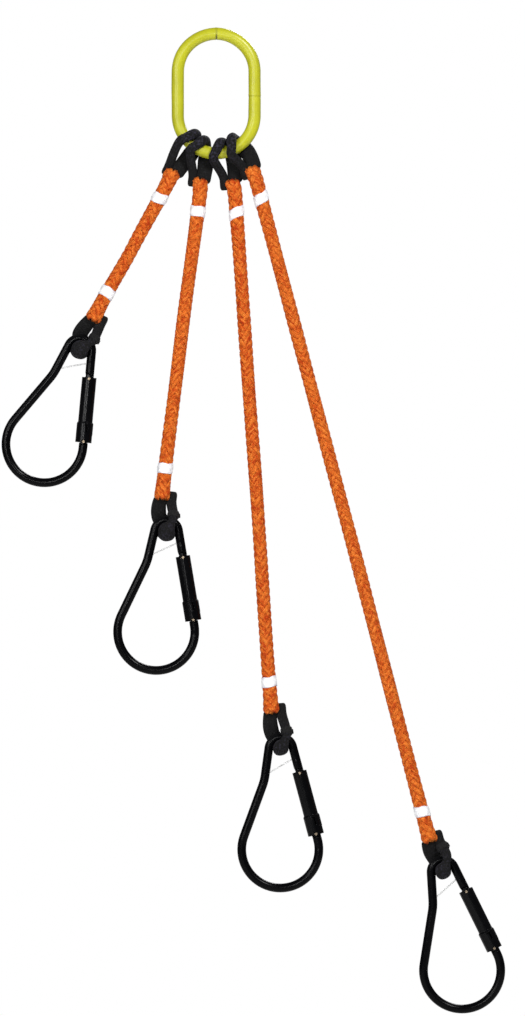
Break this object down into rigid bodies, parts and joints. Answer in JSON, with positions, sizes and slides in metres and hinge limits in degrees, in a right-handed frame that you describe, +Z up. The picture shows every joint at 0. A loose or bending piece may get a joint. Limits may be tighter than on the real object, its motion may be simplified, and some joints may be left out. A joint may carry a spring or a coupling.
{
  "type": "four leg rope sling",
  "caption": "Multi-leg lifting sling: a steel master link, braided rope legs with sleeved eyes, marker bands and a self-locking snap hook on each.",
  "frame": {"origin": "the point inside the crown of the master link where a lifting hook bears", "axes": "+Z up along the hanging sling, +X across the fan of legs from the shortest to the longest, +Y away from the side on which the front strands of the eyes cross the link"},
  "size_m": [0.5733, 0.0466, 1.1229],
  "materials": {
    "link_paint": "glossy yellow-green lifting paint over forged steel",
    "rope": "twelve-strand braided polyester, matte with a slight sheen",
    "webbing": "black tubular protective webbing",
    "tape": "white tape wrap",
    "elastic": "ribbed black elastic",
    "coated_steel": "black satin coating over steel",
    "bright_steel": "bright drawn steel",
    "spring_steel": "oiled spring steel"
  },
  "bodies": {
    "root": {"master_link": "link_paint"},
    "upper_eye_1": {"upper_eye_rope_1": "rope", "upper_sleeve_1": "webbing"},
    "leg_1": {"rope_leg_1": "rope", "marker_bands_1": "tape"},
    "lower_eye_1": {"lower_eye_rope_1": "rope", "lower_sleeve_1": "webbing", "keeper_band_1": "elastic"},
    "hook_1": {"hook_frame_1": "coated_steel", "captive_wire_1": "bright_steel"},
    "gate_body_1": {"gate_1": "coated_steel", "gate_rivets_1": "bright_steel", "gate_spring_1": "spring_steel", "lock_spring_1": "spring_steel"},
    "lock_body_1": {"lock_sleeve_1": "coated_steel"},
    "upper_eye_2": {"upper_eye_rope_2": "rope", "upper_sleeve_2": "webbing"},
    "leg_2": {"rope_leg_2": "rope", "marker_bands_2": "tape"},
    "lower_eye_2": {"lower_eye_rope_2": "rope", "lower_sleeve_2": "webbing", "keeper_band_2": "elastic"},
    "hook_2": {"hook_frame_2": "coated_steel", "captive_wire_2": "bright_steel"},
    "gate_body_2": {"gate_2": "coated_steel", "gate_rivets_2": "bright_steel", "gate_spring_2": "spring_steel", "lock_spring_2": "spring_steel"},
    "lock_body_2": {"lock_sleeve_2": "coated_steel"},
    "upper_eye_3": {"upper_eye_rope_3": "rope", "upper_sleeve_3": "webbing"},
    "leg_3": {"rope_leg_3": "rope", "marker_bands_3": "tape"},
    "lower_eye_3": {"lower_eye_rope_3": "rope", "lower_sleeve_3": "webbing", "keeper_band_3": "elastic"},
    "hook_3": {"hook_frame_3": "coated_steel", "captive_wire_3": "bright_steel"},
    "gate_body_3": {"gate_3": "coated_steel", "gate_rivets_3": "bright_steel", "gate_spring_3": "spring_steel", "lock_spring_3": "spring_steel"},
    "lock_body_3": {"lock_sleeve_3": "coated_steel"},
    "upper_eye_4": {"upper_eye_rope_4": "rope", "upper_sleeve_4": "webbing"},
    "leg_4": {"rope_leg_4": "rope", "marker_bands_4": "tape"},
    "lower_eye_4": {"lower_eye_rope_4": "rope", "lower_sleeve_4": "webbing", "keeper_band_4": "elastic"},
    "hook_4": {"hook_frame_4": "coated_steel", "captive_wire_4": "bright_steel"},
    "gate_body_4": {"gate_4": "coated_steel", "gate_rivets_4": "bright_steel", "gate_spring_4": "spring_steel", "lock_spring_4": "spring_steel"},
    "lock_body_4": {"lock_sleeve_4": "coated_steel"}
  },
  "joints": [
    {"name": "leg_1_a_eye_slide", "type": "hinge", "parent": "root", "child": "upper_eye_1", "pos_m": [0, 0, -0.0854], "axis": [0, 1, 0], "range_deg": [0, 30]},
    {"name": "leg_1_b_throat_bend", "type": "hinge", "parent": "upper_eye_1", "child": "leg_1", "pos_m": [-0.05735, 0.0015, -0.16232], "axis": [0.8886, 0, -0.4587], "range_deg": [-50, 50]},
    {"name": "leg_1_c_hook_fold", "type": "hinge", "parent": "leg_1", "child": "lower_eye_1", "pos_m": [-0.13243, 0.0015, -0.30778], "axis": [0.8886, 0, -0.4587], "range_deg": [-45, 45]},
    {"name": "leg_1_d_hook_sway", "type": "hinge", "parent": "lower_eye_1", "child": "hook_1", "pos_m": [-0.15564, 0.0015, -0.35375], "axis": [0, 1, 0], "range_deg": [-25, 25]},
    {"name": "leg_1_e_gate", "type": "hinge", "parent": "hook_1", "child": "gate_body_1", "pos_m": [-0.14474, 0.0015, -0.38618], "axis": [0, 1, 0], "range_deg": [0, 32], "stiffness_Nm_per_rad": 0.05, "springref_deg": -17.19},
    {"name": "leg_1_f_lock_twist", "type": "hinge", "parent": "gate_body_1", "child": "lock_body_1", "pos_m": [-0.14474, 0.0015, -0.38618], "axis": [0.0906, 0, 0.9959], "range_deg": [0, 90]},
    {"name": "leg_2_a_eye_slide", "type": "hinge", "parent": "root", "child": "upper_eye_2", "pos_m": [0, 0, -0.0854], "axis": [0, 1, 0], "range_deg": [-3, 0]},
    {"name": "leg_2_b_throat_bend", "type": "hinge", "parent": "upper_eye_2", "child": "leg_2", "pos_m": [-0.02092, -0.0015, -0.17098], "axis": [0.9934, 0, -0.1149], "range_deg": [-50, 50]},
    {"name": "leg_2_c_hook_fold", "type": "hinge", "parent": "leg_2", "child": "lower_eye_2", "pos_m": [-0.06013, -0.0015, -0.50992], "axis": [0.9934, 0, -0.1149], "range_deg": [-45, 45]},
    {"name": "leg_2_d_hook_sway", "type": "hinge", "parent": "lower_eye_2", "child": "hook_2", "pos_m": [-0.05651, -0.0015, -0.56107], "axis": [0, 1, 0], "range_deg": [-25, 25]},
    {"name": "leg_2_e_gate", "type": "hinge", "parent": "hook_2", "child": "gate_body_2", "pos_m": [-0.03778, -0.0015, -0.58969], "axis": [0, 1, 0], "range_deg": [0, 32], "stiffness_Nm_per_rad": 0.05, "springref_deg": -17.19},
    {"name": "leg_2_f_lock_twist", "type": "hinge", "parent": "gate_body_2", "child": "lock_body_2", "pos_m": [-0.03778, -0.0015, -0.58969], "axis": [-0.1633, 0, 0.9866], "range_deg": [0, 90]},
    {"name": "leg_3_a_eye_slide", "type": "hinge", "parent": "root", "child": "upper_eye_3", "pos_m": [0, 0, -0.0854], "axis": [0, 1, 0], "range_deg": [0, 3]},
    {"name": "leg_3_b_throat_bend", "type": "hinge", "parent": "upper_eye_3", "child": "leg_3", "pos_m": [0.01798, 0.0045, -0.17247], "axis": [0.9969, 0, 0.0785], "range_deg": [-50, 50]},
    {"name": "leg_3_c_hook_fold", "type": "hinge", "parent": "leg_3", "child": "lower_eye_3", "pos_m": [0.06369, 0.0045, -0.75327], "axis": [0.9969, 0, 0.0785], "range_deg": [-45, 45]},
    {"name": "leg_3_d_hook_sway", "type": "hinge", "parent": "lower_eye_3", "child": "hook_3", "pos_m": [0.07377, 0.0045, -0.80877], "axis": [0, 1, 0], "range_deg": [-25, 25]},
    {"name": "leg_3_e_gate", "type": "hinge", "parent": "hook_3", "child": "gate_body_3", "pos_m": [0.0952, 0.0045, -0.83543], "axis": [0, 1, 0], "range_deg": [0, 32], "stiffness_Nm_per_rad": 0.05, "springref_deg": -17.19},
    {"name": "leg_3_f_lock_twist", "type": "hinge", "parent": "gate_body_3", "child": "lock_body_3", "pos_m": [0.0952, 0.0045, -0.83543], "axis": [-0.2588, 0, 0.9659], "range_deg": [0, 90]},
    {"name": "leg_4_a_eye_slide", "type": "hinge", "parent": "root", "child": "upper_eye_4", "pos_m": [0, 0, -0.0854], "axis": [0, 1, 0], "range_deg": [-40, 0]},
    {"name": "leg_4_b_throat_bend", "type": "hinge", "parent": "upper_eye_4", "child": "leg_4", "pos_m": [0.04272, -0.0045, -0.15906], "axis": [0.9664, 0, 0.2571], "range_deg": [-50, 50]},
    {"name": "leg_4_c_hook_fold", "type": "hinge", "parent": "leg_4", "child": "lower_eye_4", "pos_m": [0.23992, -0.0045, -0.90017], "axis": [0.9664, 0, 0.2571], "range_deg": [-45, 45]},
    {"name": "leg_4_d_hook_sway", "type": "hinge", "parent": "lower_eye_4", "child": "hook_4", "pos_m": [0.25865, -0.0045, -0.94801], "axis": [0, 1, 0], "range_deg": [-25, 25]},
    {"name": "leg_4_e_gate", "type": "hinge", "parent": "hook_4", "child": "gate_body_4", "pos_m": [0.28485, -0.0045, -0.97], "axis": [0, 1, 0], "range_deg": [0, 32], "stiffness_Nm_per_rad": 0.05, "springref_deg": -17.19},
    {"name": "leg_4_f_lock_twist", "type": "hinge", "parent": "gate_body_4", "child": "lock_body_4", "pos_m": [0.28485, -0.0045, -0.97], "axis": [-0.4415, 0, 0.8973], "range_deg": [0, 90]}
  ]
}
